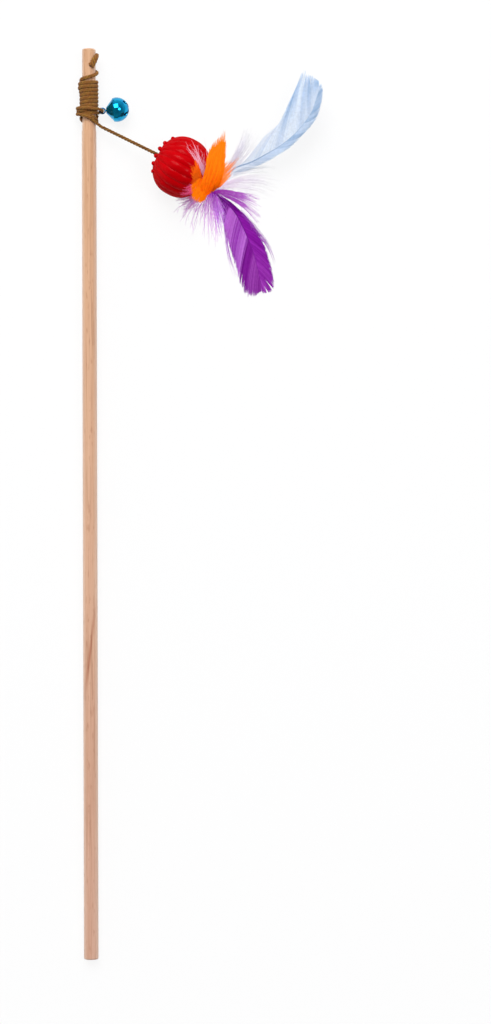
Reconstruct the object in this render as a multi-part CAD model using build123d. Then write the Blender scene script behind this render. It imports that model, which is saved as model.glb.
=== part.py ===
"""Cat teaser wand: a wooden rod, a cord wound on its tip, a bell, a ribbed ball and feathers.

Millimetres. The origin is the centre of the rod's butt face, +Y runs along the rod to its tip,
+Z is up from the surface that the wand lies on and +X points to the ball's side.
"""

from build123d import *
import math
import os

# Rod, with a slightly slimmer tip that carries the winding
rod_length = 500.0
rod_diameter = 8.0
rod_end_round = 0.8
tip_step = 0.3
tip_margin = 1.0

# Cord and how it is laid
cord_diameter = 1.5
strand_gap = 0.58
layer_gap = 0.45
seat_clearance = 0.06
cord_clearance = 0.3
winding_inset = 17.3
tail_length = 13.3
tail_lift = 0.1
sample_step = 0.6
winding_quarters = 38
first_angle = -90
quarter_turn = 90
half_turn = 180

# Tail: angle round the rod from its top, share of the tail's length
tail_route_shares = ((17, 0.54), (75, 1.0), (132, 0.7), (86, 0.37), (42, 0.25), (0, 0.15))
# Upper turns: angle, rows below the first turn, share of the way from the tip to the upper layer
hitch_before_eye_shares = (
    (-200, 7.3, 1.0),
    (-145, 7.36, 1.0),
    (-90, 7.42, 1.0),
    (-45, 7.5, 1.0),
    (0, 7.6, 1.0),
)
eye_angle = 90
eye_row_share = 7.99
hitch_after_eye_shares = (
    (180, 8.42, 1.0),
    (225, 8.62, 1.0),
    (270, 8.88, 1.0),
    (315, 9.25, 0.95),
    (360, 9.9, 0.5),
    (395, 10.8, 0.2),
    (420, 11.65, 0.16),
)
exit_reach = 3.6
exit_drop = 0.9

# Line from the rod to the ball
line_length = 36.9
line_heading = -27.8

# Bell
bell_diameter = 13.4
bell_wall = 0.5
bell_neck_diameter = 3.2
bell_reach = 7.9
bell_heading = 5
bell_cone_share = 0.28
bell_neck_share = 0.87
bell_slot_width = 1.2
bell_slot_hole = 2.0
bell_slot_share = 0.68
bell_slot_turn = 45
eye_wire = 0.8
stem_diameter = 1.1
stem_head_diameter = 1.7
stem_head_height = 0.6
pellet_diameter = 4.0

# Ball
ball_diameter = 33.2
ball_length = 28.8
ball_wall = 1.4
ball_tilt = 5
rib_count = 20
rib_depth = 0.6
rib_end_share = 1.3
dimple_depth = 3.0
dimple_mouth_share = 0.31
ball_profile_shares = ((1.0, 0.38), (0.9, 0.56), (0.75, 0.745), (0.55, 0.885), (0.3, 0.975), (0.0, 1.0))
# Teeth on the ball's edge beside the cord: lean from the cord, and the tip's place along the axis
# and across it as shares of the ball's half length and radius
tooth_shares = (
    (-45, 0.84, -0.728),
    (-27, 1.043, -0.461),
    (-12, 1.122, -0.207),
    (5, 1.131, 0.086),
    (21, 1.076, 0.358),
    (37, 0.939, 0.614),
)
tooth_diameter = 2.4
tooth_length = 3.0
tooth_rise = 2.4
lip_height = 2.0
lip_wall = 1.2
lip_clearance = 0.25
bore_clearance = 0.15
knot_diameter = 3.6

# Binding that gathers the quills
binding_diameter = 3.8
binding_length = 5.2
binding_heading = -52
binding_drop = 34
root_clearance = 0.12

# Feathers
quill_diameter = 1.1
stalk_diameter = 0.7
vane_thickness = 0.8
vane_edge = 0.3
fluff_thickness = 0.5
notch_width = 2.0
notch_reach_share = 2.2
blue_length = 91.0
blue_heading = 44
blue_rise = -6
purple_length = 64.0
purple_heading = -58
purple_rise = -12

# Feather routes: along, to the left, up, left vane and right vane as shares of the feather's length
blue_route_shares = (
    (0.2, -0.007, 0.0, 0.007, 0.007),
    (0.3, -0.051, 0.015, 0.017, 0.034),
    (0.403, -0.081, 0.035, 0.08, 0.044),
    (0.513, -0.107, 0.055, 0.106, 0.05),
    (0.64, -0.114, 0.078, 0.123, 0.043),
    (0.774, -0.09, 0.095, 0.148, 0.047),
    (0.855, -0.048, 0.103, 0.144, 0.042),
    (0.947, 0.021, 0.107, 0.11, 0.028),
)
purple_route_shares = (
    (0.172, 0.055, -0.035, 0.05, 0.05),
    (0.31, 0.07, -0.075, 0.086, 0.11),
    (0.503, 0.048, -0.115, 0.11, 0.165),
    (0.705, 0.005, -0.135, 0.128, 0.177),
    (0.87, -0.05, -0.139, 0.125, 0.172),
    (0.975, -0.094, -0.14, 0.095, 0.145),
)
# Splits in a vane: route station, side with the left as 1, share of the vane's width where they end
blue_notch_shares = ((6, 1, 0.4), (7, 1, 0.3), (8, 1, 0.45))
purple_notch_shares = ((4, -1, 0.5), (5, -1, 0.35), (5, 1, 0.4))

# Plumes and tufts: heading and rise, then lobes of angle, length share and width share
leaf_shares = ((0.3, 0.6), (0.62, 1.0), (0.86, 0.6))
orange_upper_length = 37.0
orange_upper_angles = (74, 32)
orange_upper_shares = ((-9, 0.92, 0.15), (-1, 1.0, 0.15), (7, 0.88, 0.14))
orange_right_length = 21.0
orange_right_angles = (35, 28)
orange_right_shares = ((-16, 0.88, 0.2), (-3, 1.0, 0.2), (9, 0.9, 0.18))
orange_lower_length = 11.0
orange_lower_angles = (-140, 10)
orange_lower_shares = ((-16, 0.85, 0.34), (2, 1.0, 0.38), (18, 0.85, 0.34))
violet_length = 28.0
violet_angles = (-15, 4)
violet_shares = ((-6, 1.0, 0.09), (1, 0.95, 0.09), (8, 0.78, 0.09), (15, 0.6, 0.1))
lilac_length = 34.0
lilac_angles = (-118, -13)
lilac_shares = (
    (-36, 0.72, 0.1),
    (-24, 0.85, 0.1),
    (-12, 0.95, 0.1),
    (0, 1.0, 0.1),
    (11, 0.95, 0.1),
    (21, 0.8, 0.1),
)
pale_length = 36.0
pale_angles = (54, 13)
pale_shares = ((-12, 0.75, 0.08), (-4, 0.95, 0.08), (5, 1.0, 0.08), (13, 0.8, 0.08))

# Sizes that follow
rod_radius = rod_diameter / 2
cord_radius = cord_diameter / 2
pitch = cord_diameter + strand_gap
tip_radius = rod_radius - tip_step
lay_radius = tip_radius + seat_clearance + cord_radius
upper_radius = lay_radius + cord_diameter + layer_gap
floor_height = -(upper_radius + cord_radius)
winding_top = rod_length - winding_inset
eye_inner = cord_radius + cord_clearance
eye_outer = eye_inner + eye_wire
eye_out = lay_radius + cord_radius + cord_clearance + eye_outer
bell_radius = bell_diameter / 2
ball_radius = ball_diameter / 2
ball_half = ball_length / 2
cavity_radius = ball_radius - rib_depth - ball_wall
bore_radius = cord_radius + bore_clearance
dimple_floor = ball_half - dimple_depth
knot_radius = knot_diameter / 2
binding_radius = binding_diameter / 2
up = Vector(0, 0, 1)
standing = (Align.CENTER, Align.CENTER, Align.MIN)


def direction(heading, rise):
    flat = math.cos(math.radians(rise))
    turn = math.radians(heading)
    return Vector(flat * math.cos(turn), flat * math.sin(turn), math.sin(math.radians(rise)))


def on_rod(station):
    angle = math.radians(station[0])
    return Vector(station[2] * math.sin(angle), station[1], station[2] * math.cos(angle))


def run_at(stations, index):
    before = stations[max(index - 1, 0)]
    after = stations[min(index + 1, len(stations) - 1)]
    angle = math.radians(stations[index][0])
    round_rod = stations[index][2] * math.radians(after[0] - before[0])
    lift = after[2] - before[2]
    across = round_rod * math.cos(angle) + lift * math.sin(angle)
    height = lift * math.cos(angle) - round_rod * math.sin(angle)
    return Vector(across, after[1] - before[1], height).normalized()


def biarc(start, leave, end, arrive):
    span = end - start
    slack = 2 * (1 - leave.dot(arrive))
    reach = span.dot(leave + arrive)
    arm = (math.sqrt(reach * reach + slack * span.dot(span)) - reach) / slack
    first = start + leave * arm
    second = end - arrive * arm
    middle = (first + second) / 2
    return [
        Edge.make_tangent_arc(start, leave, middle),
        Edge.make_tangent_arc(middle, (second - first).normalized(), end),
    ]


def least_gap(path):
    count = int(path.length / sample_step)
    places = [path.position_at(index / count) for index in range(count + 1)]
    skip = int(4 * cord_diameter / sample_step)
    least = path.length
    for index, place in enumerate(places):
        for other in places[index + skip :]:
            least = min(least, (other - place).length)
    return least - cord_diameter


def laid_cord(name, places, runs):
    edges = []
    for index in range(len(places) - 1):
        edges += biarc(places[index], runs[index], places[index + 1], runs[index + 1])
    path = Wire(edges)
    section = Plane(origin=places[0], z_dir=runs[0]) * Circle(cord_radius)
    tube = sweep(section, path=path)
    share = tube.volume / (section.area * path.length)
    print(name, "length", round(path.length, 1), "volume share", round(share, 4))
    print(name, "tightest bend", round(min(edge.radius for edge in edges), 2))
    print(name, "least gap to itself", round(least_gap(path), 3))
    return tube


def winding_stations():
    stations = []
    for angle, rise_share in tail_route_shares:
        stations.append((angle, winding_top + tail_length * rise_share, lay_radius + tail_lift))
    for quarter in range(winding_quarters + 1):
        along = winding_top - pitch * quarter / 4
        stations.append((first_angle - quarter_turn * quarter, along, lay_radius))
    return stations


def upper_station(angle, row_share, layer_share):
    radius = lay_radius + (upper_radius - lay_radius) * layer_share
    return (angle, winding_top - pitch * row_share, radius)


def hitch_stations():
    stations = [upper_station(*shares) for shares in hitch_before_eye_shares]
    stations.append((eye_angle, winding_top - pitch * eye_row_share, eye_out))
    return stations + [upper_station(*shares) for shares in hitch_after_eye_shares]


def make_rod(handle_length):
    rod = Cylinder(rod_radius, handle_length, align=standing)
    rod = fillet(rod.edges().sort_by(Axis.Z)[0], rod_end_round)
    tip = Cylinder(tip_radius, rod_length, align=standing)
    tip = fillet(tip.edges().sort_by(Axis.Z)[-1], rod_end_round)
    rod += split(tip, bisect_by=Plane.XY.offset(handle_length), keep=Keep.TOP)
    return Rot(-90, 0, 0) * rod


def capsule(start, end, radius):
    run = end - start
    tube = Plane(origin=start, z_dir=run) * Cylinder(radius, run.length, align=standing)
    return tube + Pos(start) * Sphere(radius) + Pos(end) * Sphere(radius)


def bell_form(radius, neck_radius, neck_place):
    cone_place = bell_radius * bell_cone_share
    rim = math.sqrt(radius * radius - cone_place * cone_place)
    dome = split(Sphere(radius), bisect_by=Plane.XY.offset(-cone_place), keep=Keep.TOP)
    cone = Cone(neck_radius, rim, neck_place - cone_place, align=standing)
    return dome + Pos(0, 0, -neck_place) * cone


def make_bell():
    neck_radius = bell_neck_diameter / 2
    neck_place = bell_radius * bell_neck_share
    inner_place = neck_place - bell_wall
    shell = bell_form(bell_radius, neck_radius, neck_place)
    shell -= bell_form(bell_radius - bell_wall, neck_radius - bell_wall, inner_place)
    stem_radius = stem_diameter / 2
    stem_hole = Cylinder(stem_radius + seat_clearance, bell_radius, align=standing)
    shell -= Pos(0, 0, -neck_place - bell_wall) * stem_hole
    crown = split(shell, bisect_by=Plane.XY, keep=Keep.BOTTOM)
    mouth = split(shell, bisect_by=Plane.XY, keep=Keep.TOP)
    slot_end = bell_radius * bell_slot_share
    slot = Box(2 * slot_end, bell_slot_width, bell_diameter, align=standing)
    hole = Cylinder(bell_slot_hole / 2, bell_diameter, align=standing)
    for quarter in range(2):
        turned = Rot(0, 0, bell_slot_turn + quarter_turn * quarter)
        mouth -= turned * slot
        mouth -= turned * Pos(slot_end, 0, 0) * hole
        mouth -= turned * Pos(-slot_end, 0, 0) * hole
    ring_radius = eye_inner + eye_wire / 2
    eye = Pos(0, 0, -bell_reach) * Rot(90, 0, 0) * Torus(ring_radius, eye_wire / 2)
    stem_from = -bell_reach + ring_radius
    head_from = -inner_place + seat_clearance
    eye += Pos(0, 0, stem_from) * Cylinder(stem_radius, head_from - stem_from, align=standing)
    eye += Pos(0, 0, head_from) * Cylinder(stem_head_diameter / 2, stem_head_height, align=standing)
    pellet_out = bell_radius - bell_wall - pellet_diameter / 2 - cord_clearance
    pellet = Pos(0, -pellet_out, 0) * Sphere(pellet_diameter / 2)
    return crown, mouth, eye, pellet


def ribbed_ring(radius, depth):
    edges = []
    step = math.pi / rib_count
    for rib in range(rib_count):
        groove, crest, far = (2 * rib * step, (2 * rib + 1) * step, (2 * rib + 2) * step)
        low = radius - depth
        start = (low * math.cos(groove), low * math.sin(groove))
        top = (radius * math.cos(crest), radius * math.sin(crest))
        end = (low * math.cos(far), low * math.sin(far))
        edges.append(ThreePointArc(start, top, end))
    return make_face(edges)


def make_ball():
    sections = []
    for height_share, radius_share in ball_profile_shares:
        depth = rib_depth * (1 + (rib_end_share - 1) * (1 - radius_share))
        ring = ribbed_ring(ball_radius * radius_share, depth)
        sections.append((ball_half * height_share, ring))
    lower = [Pos(0, 0, -height) * ring for height, ring in sections]
    upper = [Pos(0, 0, height) * ring for height, ring in reversed(sections[:-1])]
    ball = loft(lower + upper)
    dimple_mouth = ball_radius * dimple_mouth_share
    dimple = Cone(knot_radius + cord_clearance, dimple_mouth, dimple_depth, align=standing)
    ball -= Pos(0, 0, dimple_floor) * dimple
    ball -= Rot(180, 0, 0) * Pos(0, 0, dimple_floor) * dimple
    tooth_radius = tooth_diameter / 2
    tooth = Pos(0, 0, -tooth_length) * Cylinder(tooth_radius, tooth_length, align=standing)
    tooth += Sphere(tooth_radius)
    for lean, along_share, across_share in tooth_shares:
        tip = Pos(ball_radius * across_share, -tooth_rise, -ball_half * along_share)
        ball += tip * Rot(0, half_turn - lean, 0) * Pos(0, 0, -tooth_radius) * tooth
    slab = Cylinder(ball_radius, 2 * (dimple_floor - ball_wall))
    ball -= Sphere(cavity_radius) & slab
    ball -= Cylinder(bore_radius, ball_length)
    feather_half = split(ball, bisect_by=Plane.XY, keep=Keep.TOP)
    cord_half = split(ball, bisect_by=Plane.XY, keep=Keep.BOTTOM)
    lip_inner = cavity_radius - lip_clearance - lip_wall
    lip = Pos(0, 0, -lip_height) * Cylinder(cavity_radius + lip_clearance, lip_height, align=standing)
    lip += Cylinder(cavity_radius - lip_clearance, lip_height, align=standing)
    lip -= Cylinder(lip_inner, ball_length)
    return cord_half + lip, feather_half


def route_of(root, heading, length, shares):
    ahead = direction(heading, 0)
    left = up.cross(ahead)
    places = []
    for along, across, rise, _, _ in shares:
        places.append(root + (ahead * along + left * across + up * rise) * length)
    return places


def vane(root, heading, rise, length, shares):
    quill = quill_diameter / 2
    start = root + clear_of_binding(direction(heading, rise), binding_radius + root_clearance)
    places = [start] + route_of(root, heading, length, shares)
    widths = [(quill, quill)] + [(length * left, length * right) for _, _, _, left, right in shares]
    thick, thin = vane_thickness / 2, vane_edge / 2
    sections = []
    for index, place in enumerate(places):
        ahead = places[min(index + 1, len(places) - 1)] - places[max(index - 1, 0)]
        side = ahead.cross(up).normalized()
        left, right = widths[index]
        corners = [(-left, thin), (0, thick), (right, thin), (right, -thin), (0, -thick), (-left, -thin)]
        outline = make_face(Polyline(corners, close=True))
        sections.append(Plane(origin=place, x_dir=side, z_dir=ahead) * outline)
    return loft(sections, ruled=True), places, widths


def notched(blade, places, widths, notch_shares):
    for station, side, inner_share in notch_shares:
        ahead = (places[station] - places[station - 1]).normalized()
        left = up.cross(ahead).normalized() * side
        width = widths[station][0] if side > 0 else widths[station][1]
        tip = places[station] + left * width * inner_share
        run = (ahead + left).normalized()
        across = up.cross(run)
        outer = tip + run * width * (1 - inner_share) * notch_reach_share
        corners = [tip, outer + across * notch_width / 2, outer - across * notch_width / 2]
        flat = [(corner.X, corner.Y) for corner in corners]
        wedge = extrude(make_face(Polyline(flat, close=True)), ball_diameter, both=True)
        blade -= wedge
    return blade


def clear_of_binding(run, size):
    lean = max(0, -run.dot(binding_run))
    return run * (size / math.sqrt(1 - lean * lean))


def plume(root, length, angles, lobe_shares):
    heading, rise = angles
    flat = Circle(stalk_diameter / 2)
    for angle, length_share, width_share in lobe_shares:
        long = length * length_share
        wide = length * width_share / 2
        leaf = [(long * at, wide * out) for at, out in leaf_shares]
        mirrored = [(x, -y) for x, y in reversed(leaf)]
        outline = Polyline([(0, 0)] + leaf + [(long, 0)] + mirrored, close=True)
        flat += Rot(0, 0, angle) * make_face(outline)
    blade = extrude(flat, fluff_thickness / 2, both=True)
    seat = binding_radius + root_clearance + stalk_diameter / 2
    start = root + clear_of_binding(direction(heading, rise), seat)
    return Pos(start) * Rot(0, 0, heading) * Rot(0, -rise, 0) * blade


def export(name, shape):
    export_step(shape, "parts/" + name + ".step")


def show(name, place):
    print(name, [round(value, 3) for value in place])


os.makedirs("parts", exist_ok=True)

# Rod and cord
winding = winding_stations()
winding_places = [on_rod(station) for station in winding]
winding_runs = [run_at(winding, index) for index in range(len(winding))]
export("cord_winding", laid_cord("cord_winding", winding_places, winding_runs))

hitch = hitch_stations()
hitch_places = [on_rod(station) for station in hitch]
hitch_runs = [run_at(hitch, index) for index in range(len(hitch))]
line_flat = direction(line_heading, 0)
exit_place = hitch_places[-1] + line_flat * exit_reach - up * exit_drop
ball_rise = floor_height + ball_radius
entry_back = dimple_floor + cord_clearance + cord_radius
ball_axis = direction(line_heading, -ball_tilt)
line_climb = ball_rise - ball_axis.Z * entry_back - exit_place.Z
line_rise = math.degrees(math.asin(line_climb / line_length))
line_run = direction(line_heading, line_rise)
export("cord_hitch", laid_cord("cord_hitch", hitch_places + [exit_place], hitch_runs + [line_run]))

handle_length = exit_place.Y - cord_radius - tip_margin
export("rod", make_rod(handle_length))

line_start = exit_place + line_run * (cord_clearance + cord_radius)
line_end = line_start + line_run * line_length
export("cord_line", capsule(line_start, line_end, cord_radius))

# Bell
eye_place = Vector(eye_out, winding_top - pitch * eye_row_share, floor_height + bell_radius)
bell_run = direction(bell_heading, 0)
bell_place = eye_place + bell_run * bell_reach
bell_frame = Plane(origin=bell_place, x_dir=up.cross(bell_run), z_dir=bell_run)
crown, mouth, eye, pellet = make_bell()
export("bell_crown", bell_frame * crown)
export("bell_mouth", bell_frame * mouth)
export("bell_eye", bell_frame * eye)
export("bell_pellet", bell_frame * pellet)

# Ball
ball_place = line_end + ball_axis * entry_back
ball_frame = Plane(origin=ball_place, x_dir=ball_axis.cross(up), z_dir=ball_axis)
cord_half, feather_half = make_ball()
export("ball_cord_half", ball_frame * cord_half)
export("ball_feather_half", ball_frame * feather_half)
knot_out = dimple_floor + knot_radius + seat_clearance
core = Pos(0, 0, -dimple_floor) * Cylinder(cord_radius, dimple_floor + knot_out, align=standing)
knot = Pos(0, 0, knot_out) * Sphere(knot_radius)
knot -= Cylinder(cord_radius + seat_clearance, knot_out + seat_clearance, align=standing)
export("cord_core", ball_frame * core)
export("cord_knot", ball_frame * knot)

# Binding and feathers
knot_place = ball_place + ball_axis * knot_out
binding_run = direction(binding_heading, -binding_drop)
binding_near = knot_place + binding_run * (knot_radius + seat_clearance + binding_radius)
root = binding_near + binding_run * binding_length
export("quill_binding", capsule(binding_near, root, binding_radius))

blue, blue_places, blue_widths = vane(root, blue_heading, blue_rise, blue_length, blue_route_shares)
export("blue_feather", notched(blue, blue_places, blue_widths, blue_notch_shares))
purple, purple_places, purple_widths = vane(
    root, purple_heading, purple_rise, purple_length, purple_route_shares
)
export("purple_feather", notched(purple, purple_places, purple_widths, purple_notch_shares))
export("orange_plume_upper", plume(root, orange_upper_length, orange_upper_angles, orange_upper_shares))
export("orange_plume_right", plume(root, orange_right_length, orange_right_angles, orange_right_shares))
export("orange_plume_lower", plume(root, orange_lower_length, orange_lower_angles, orange_lower_shares))
export("violet_tuft", plume(root, violet_length, violet_angles, violet_shares))
export("lilac_tuft", plume(root, lilac_length, lilac_angles, lilac_shares))
export("pale_tuft", plume(root, pale_length, pale_angles, pale_shares))

show("line start", line_start)
show("line end", line_end)
show("line run", line_run)
show("eye", eye_place)
show("bell", bell_place)
show("ball", ball_place)
show("ball axis", ball_axis)
show("root", root)
show("bell run", bell_run)
print("floor", round(floor_height, 3), "handle length", round(handle_length, 3))
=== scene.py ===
"""Looks of the cat teaser wand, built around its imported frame. Lengths are written in millimetres."""

import math

import bpy
import numpy as np
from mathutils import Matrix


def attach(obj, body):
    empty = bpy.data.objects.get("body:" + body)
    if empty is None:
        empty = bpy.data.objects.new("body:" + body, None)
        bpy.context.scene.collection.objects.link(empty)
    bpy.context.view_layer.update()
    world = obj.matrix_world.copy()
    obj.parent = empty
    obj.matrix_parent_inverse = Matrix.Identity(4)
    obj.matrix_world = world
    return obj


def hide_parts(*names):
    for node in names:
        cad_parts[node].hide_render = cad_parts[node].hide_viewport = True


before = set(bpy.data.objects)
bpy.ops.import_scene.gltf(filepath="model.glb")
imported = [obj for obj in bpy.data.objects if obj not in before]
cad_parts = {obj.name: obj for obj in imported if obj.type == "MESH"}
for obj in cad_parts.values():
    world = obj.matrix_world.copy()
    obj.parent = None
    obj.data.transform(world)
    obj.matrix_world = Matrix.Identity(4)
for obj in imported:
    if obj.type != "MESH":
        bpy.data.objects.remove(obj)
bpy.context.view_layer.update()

MM = 0.001
UP = np.array((0.0, 0.0, 1.0))
# Facing of loose strands: never quite along a strand that stands upright
NEARLY_UP = UP + 0.01
rng = np.random.default_rng(11)

# Camera and floor
CAMERA_PLAN = np.array((85.4, 245.4))
CAMERA_HEIGHT = 1550.0
VIEW_HEIGHT = 562.7
CAMERA_ROLL = -0.002692
FLOOR_AT_BUTT = -4.0
FLOOR_SLOPE = -0.00691

# Places shared with the solids
WINDING_TOP = 482.7
PITCH = 2.08
LAY_RADIUS = 4.51
UPPER_RADIUS = 6.46
LINE_START = np.array((8.261, 456.314, 1.766))
LINE_END = np.array((39.925, 439.62, 10.73))
LINE_RUN = np.array((0.858, -0.452, 0.243))
EXIT_BACK = 1.05
EXIT_PLACE = LINE_START - LINE_RUN * EXIT_BACK
BALL = np.array((50.896, 433.835, 9.645))
BALL_AXIS = np.array((0.881, -0.465, -0.087))
BALL_RADIUS = 16.6
BALL_HALF = 14.4
BALL_PROFILE = ((0.0, 1.0), (0.3, 0.975), (0.55, 0.885), (0.75, 0.745), (0.9, 0.56), (1.0, 0.38))
ROOT = np.array((67.154, 421.821, 3.479))

# Room that soft strands keep
BALL_GAP = 0.4
OVER_BALL = 5.0
FLOOR_GAP = 0.15
HALVINGS = 24


def unit(v):
    v = np.asarray(v, float)
    return v / np.maximum(np.linalg.norm(v, axis=-1, keepdims=True), 1e-9)


def floor_at(y):
    return FLOOR_AT_BUTT + FLOOR_SLOPE * y


def seen(points):
    """Moves (x, y, z) so that it shows at the plan place (x, y) under the camera."""
    points = np.asarray(points, float)
    moved = points.copy()
    shrink = 1 - points[..., 2:3] / CAMERA_HEIGHT
    moved[..., :2] = CAMERA_PLAN + (points[..., :2] - CAMERA_PLAN) * shrink
    return moved


def lengths_along(line):
    """How far along the line each of its points lies."""
    return np.concatenate(((0,), np.cumsum(np.linalg.norm(np.diff(line, axis=0), axis=1))))


def columns_at(wanted, known, line):
    return np.stack([np.interp(wanted, known, line[:, i]) for i in range(line.shape[1])], axis=1)


def evenly(line, count):
    """Evenly spaced places along a line of points."""
    along = lengths_along(line)
    return columns_at(np.linspace(0, along[-1], count), along, line)


def at_share(line, share):
    """Places at the given shares of the way along a line of evenly spaced points."""
    return columns_at(share, np.linspace(0, 1, len(line)), line)


def spline(points, count, dense=24):
    """A smooth line through the points, as evenly spaced places."""
    p = np.asarray(points, float)
    p = np.vstack((2 * p[0] - p[1], p, 2 * p[-1] - p[-2]))
    t = np.linspace(0, 1, dense, endpoint=False)[:, None]
    runs = []
    for a, b, c, d in zip(p[:-3], p[1:-2], p[2:-1], p[3:]):
        square = 2 * a - 5 * b + 4 * c - d
        cube = 3 * b - a - 3 * c + d
        runs.append(0.5 * (2 * b + (c - a) * t + square * t**2 + cube * t**3))
    return evenly(np.vstack(runs + [p[-2:-1]]), count)


def in_ball(points, gap):
    apart = points - BALL
    along = apart @ BALL_AXIS
    out = np.linalg.norm(apart - along[..., None] * BALL_AXIS, axis=-1)
    heights = [h * BALL_HALF for h, _ in BALL_PROFILE]
    radii = [r * BALL_RADIUS for _, r in BALL_PROFILE]
    return (np.abs(along) < BALL_HALF + gap) & (out < np.interp(np.abs(along), heights, radii) + gap)


def off_ball(points, over=False, gap=BALL_GAP):
    """Moves places out of the ball: away from its centre, or straight up for strands that lie over it."""
    points = np.array(points, float)
    held = in_ball(points, gap)[..., None]
    low = points.copy()
    high = BALL + unit(points - BALL) * BALL_RADIUS * 1.5
    if over:
        top = np.full_like(points[..., :1], BALL[2] + BALL_RADIUS + OVER_BALL)
        high = np.concatenate((points[..., :2], top), axis=-1)
    for _ in range(HALVINGS):
        middle = (low + high) / 2
        inside = in_ball(middle, gap)[..., None]
        low, high = np.where(inside, middle, low), np.where(inside, high, middle)
    return np.where(held, high, points)


def off_floor(points, gap=FLOOR_GAP):
    out = points.copy()
    out[..., 2] = np.maximum(out[..., 2], floor_at(out[..., 1]) + gap)
    return out


def srgb(*rgb):
    c = np.asarray(rgb, float) / 255
    return np.where(c <= 0.04045, c / 12.92, ((c + 0.055) / 1.055) ** 2.4)


def mix(a, b, share):
    return np.asarray(a) + (np.asarray(b) - np.asarray(a)) * np.asarray(share)[..., None]


# Meshes


def tubes(name, centres, wide, thick, lift, tint, material, sides=4, smooth=True):
    """Closed tapering strands: centres is (strand, place, 3), wide and thick are half sizes."""
    centres = np.asarray(centres, float)
    strands, places, _ = centres.shape
    ahead = unit(np.gradient(centres, axis=1))
    side = unit(np.cross(ahead, np.broadcast_to(lift, centres.shape)))
    out = np.cross(side, ahead)
    turn = 2 * np.pi * np.arange(sides) / sides
    wide = np.broadcast_to(wide, (strands, places))[..., None, None]
    thick = np.broadcast_to(thick, (strands, places))[..., None, None]
    ring = centres[:, :, None] + side[:, :, None] * wide * np.cos(turn)[:, None]
    ring = ring + out[:, :, None] * thick * np.sin(turn)[:, None]
    tint = np.broadcast_to(tint, (strands, places, 3))
    return solid_rings(name, ring, np.repeat(tint[:, :, None], sides, axis=2), material, smooth)


def solid_rings(name, ring, tint, material, smooth=True):
    """A mesh of tubes from their rings: ring and tint are (strand, place, side, 3)."""
    strands, places, sides, _ = ring.shape
    index = np.arange(strands * places * sides).reshape(strands, places, sides)
    near, far = index[:, :-1], index[:, 1:]
    quads = np.stack((near, far, np.roll(far, -1, axis=2), np.roll(near, -1, axis=2)), axis=-1)
    faces = quads.reshape(-1, 4).tolist()
    faces += index[:, 0].tolist() + index[:, -1, ::-1].tolist()
    mesh = bpy.data.meshes.new(name)
    mesh.from_pydata((ring.reshape(-1, 3) * MM).tolist(), [], faces)
    mesh.polygons.foreach_set("use_smooth", np.full(len(faces), smooth))
    colour = mesh.color_attributes.new("tint", "FLOAT_COLOR", "POINT")
    rgba = np.concatenate((tint.reshape(-1, 3), np.ones((tint.size // 3, 1))), axis=1)
    colour.data.foreach_set("color", np.clip(rgba, 0, 1).astype(np.float32).ravel())
    mesh.materials.append(material)
    made = bpy.data.objects.new(name, mesh)
    bpy.context.scene.collection.objects.link(made)
    return made


def place_piece(piece, body, slot, *nodes, airy=False):
    """Adds a piece to a body, in the place of nodes if any. Airy down casts no shadow."""
    piece.visible_shadow = not airy
    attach(piece, body)
    if nodes:
        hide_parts(*nodes)


# Material nodes


def set_socket(tree, socket, value):
    """Links another node's output to the socket, or writes a constant there."""
    if isinstance(value, bpy.types.NodeSocket):
        tree.links.new(value, socket)
    else:
        socket.default_value = value


def add(tree, kind, settings=None, **inputs):
    """A new node. An input is named, with underscores for spaces, or numbered as i0, i1 and so on."""
    made = tree.nodes.new(kind)
    for key, value in (settings or {}).items():
        setattr(made, key, value)
    for key, value in inputs.items():
        numbered = key[0] == "i" and key[1:].isdigit()
        set_socket(tree, made.inputs[int(key[1:]) if numbered else key.replace("_", " ")], value)
    return made


def set_shader(tree, shader, **values):
    for key, value in values.items():
        set_socket(tree, shader.inputs[key.replace("_", " ")], value)


def colour4(rgb):
    return (*[float(c) for c in rgb], 1.0)


def new_material(name):
    made = bpy.data.materials.new(name)
    made.use_nodes = True
    tree = made.node_tree
    return made, tree, tree.nodes["Principled BSDF"]


def stretched_noise(tree, scale, detail, rough):
    coords = add(tree, "ShaderNodeTexCoord").outputs["Object"]
    mapped = add(tree, "ShaderNodeMapping", Vector=coords, Scale=scale).outputs["Vector"]
    made = add(tree, "ShaderNodeTexNoise", Vector=mapped, Scale=1.0, Detail=detail, Roughness=rough)
    return made.outputs["Fac"]


def even_noise(tree, scale, detail, rough):
    return stretched_noise(tree, (scale, scale, scale), detail, rough)


def ramp(tree, factor, *stops):
    made = add(tree, "ShaderNodeValToRGB", Fac=factor)
    elements = made.color_ramp.elements
    while len(elements) < len(stops):
        elements.new(0.5)
    for element, (place, rgb) in zip(elements, stops):
        element.position = place
        element.color = colour4(rgb)
    return made.outputs["Color"]


def blend_colour(tree, kind, factor, a, b):
    settings = {"data_type": "RGBA", "blend_type": kind, "clamp_factor": True}
    return add(tree, "ShaderNodeMix", settings, i0=factor, i6=a, i7=b).outputs[2]


def math_node(tree, operation, a, b=0.0, c=0.0, clamp=False):
    settings = {"operation": operation, "use_clamp": clamp}
    return add(tree, "ShaderNodeMath", settings, i0=a, i1=b, i2=c).outputs[0]


def bump(tree, shader, height, strength, distance):
    made = add(tree, "ShaderNodeBump", Height=height, Strength=strength, Distance=distance)
    tree.links.new(made.outputs["Normal"], shader.inputs["Normal"])


def worn_roughness(tree, shader, worn, low, high):
    rough = add(tree, "ShaderNodeMapRange", Value=worn, To_Min=low, To_Max=high)
    tree.links.new(rough.outputs["Result"], shader.inputs["Roughness"])


# Wood: colour stops by noise, and places in metres

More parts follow.
